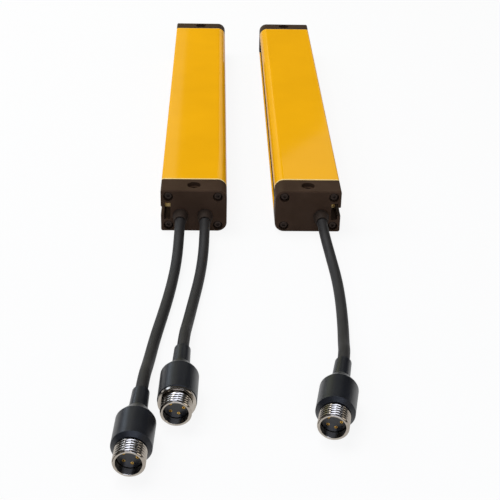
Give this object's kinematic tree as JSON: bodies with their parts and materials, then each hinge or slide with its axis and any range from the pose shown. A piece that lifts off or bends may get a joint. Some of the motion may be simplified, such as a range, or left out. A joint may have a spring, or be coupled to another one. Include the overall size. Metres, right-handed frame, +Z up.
{
  "type": "safety light curtain",
  "caption": "Machine safety light curtain: facing emitter and receiver bars in slotted yellow profile, black end caps, short leads with threaded round connectors.",
  "frame": {"origin": "middle of the two bars' common footprint, on the surface they lie on", "axes": "+Z up, the bars lie along Y with their leads towards -Y, the receiver at -X and the emitter at +X, windows facing each other"},
  "size_m": [0.1555, 0.6933, 0.035],
  "materials": {
    "yellow_powder_coat": "semi-gloss yellow powder coat on extruded aluminium",
    "black_cap_plastic": "moulded black polyamide, satin",
    "dark_window": "dark infrared-passing acrylic, polished",
    "black_rubber": "matt black rubber",
    "dark_screw_steel": "blackened steel",
    "board_green": "glass-fibre board with green solder resist",
    "holder_black": "moulded black plastic",
    "lens_clear": "clear moulded acrylic",
    "dark_epoxy": "dark infrared epoxy",
    "header_white": "natural nylon",
    "cable_jacket": "extruded black jacket, satin",
    "boot_black": "moulded black thermoplastic, satin",
    "nickel_plate": "nickel-plated brass, turned and threaded",
    "insert_black": "moulded black insulator",
    "contact_gold": "gold-flashed brass"
  },
  "bodies": {
    "root": {"receiver_housing": "yellow_powder_coat", "receiver_window": "dark_window", "receiver_window_seals": "black_rubber", "receiver_cable_cap": "black_cap_plastic", "receiver_top_cap": "black_cap_plastic", "receiver_cable_cap_gasket": "black_rubber", "receiver_top_cap_gasket": "black_rubber", "receiver_cable_cap_screws": "dark_screw_steel", "receiver_top_cap_screws": "dark_screw_steel", "receiver_circuit_board": "board_green", "receiver_optics_holder": "holder_black", "receiver_lens_strip": "lens_clear", "receiver_light_pipes": "lens_clear", "receiver_wire_header": "header_white", "emitter_housing": "yellow_powder_coat", "emitter_window": "dark_window", "emitter_window_seals": "black_rubber", "emitter_cable_cap": "black_cap_plastic", "emitter_top_cap": "black_cap_plastic", "emitter_cable_cap_gasket": "black_rubber", "emitter_top_cap_gasket": "black_rubber", "emitter_cable_cap_screws": "dark_screw_steel", "emitter_top_cap_screws": "dark_screw_steel", "emitter_circuit_board": "board_green", "emitter_optics_holder": "holder_black", "emitter_lens_strip": "lens_clear", "emitter_light_pipes": "lens_clear", "emitter_wire_header": "header_white", "receiver_photodiodes": "dark_epoxy", "emitter_diodes": "dark_epoxy", "receiver_output_strain_relief": "black_rubber", "receiver_output_cable": "cable_jacket", "receiver_output_connector_boot": "boot_black", "receiver_output_connector_shell": "nickel_plate", "receiver_output_connector_insert": "insert_black", "receiver_output_connector_contacts": "contact_gold", "receiver_link_strain_relief": "black_rubber", "receiver_link_cable": "cable_jacket", "receiver_link_connector_boot": "boot_black", "receiver_link_connector_shell": "nickel_plate", "receiver_link_connector_insert": "insert_black", "receiver_link_connector_contacts": "contact_gold", "emitter_strain_relief": "black_rubber", "emitter_cable": "cable_jacket", "emitter_connector_boot": "boot_black", "emitter_connector_shell": "nickel_plate", "emitter_connector_insert": "insert_black", "emitter_connector_contacts": "contact_gold"}
  },
  "joints": []
}
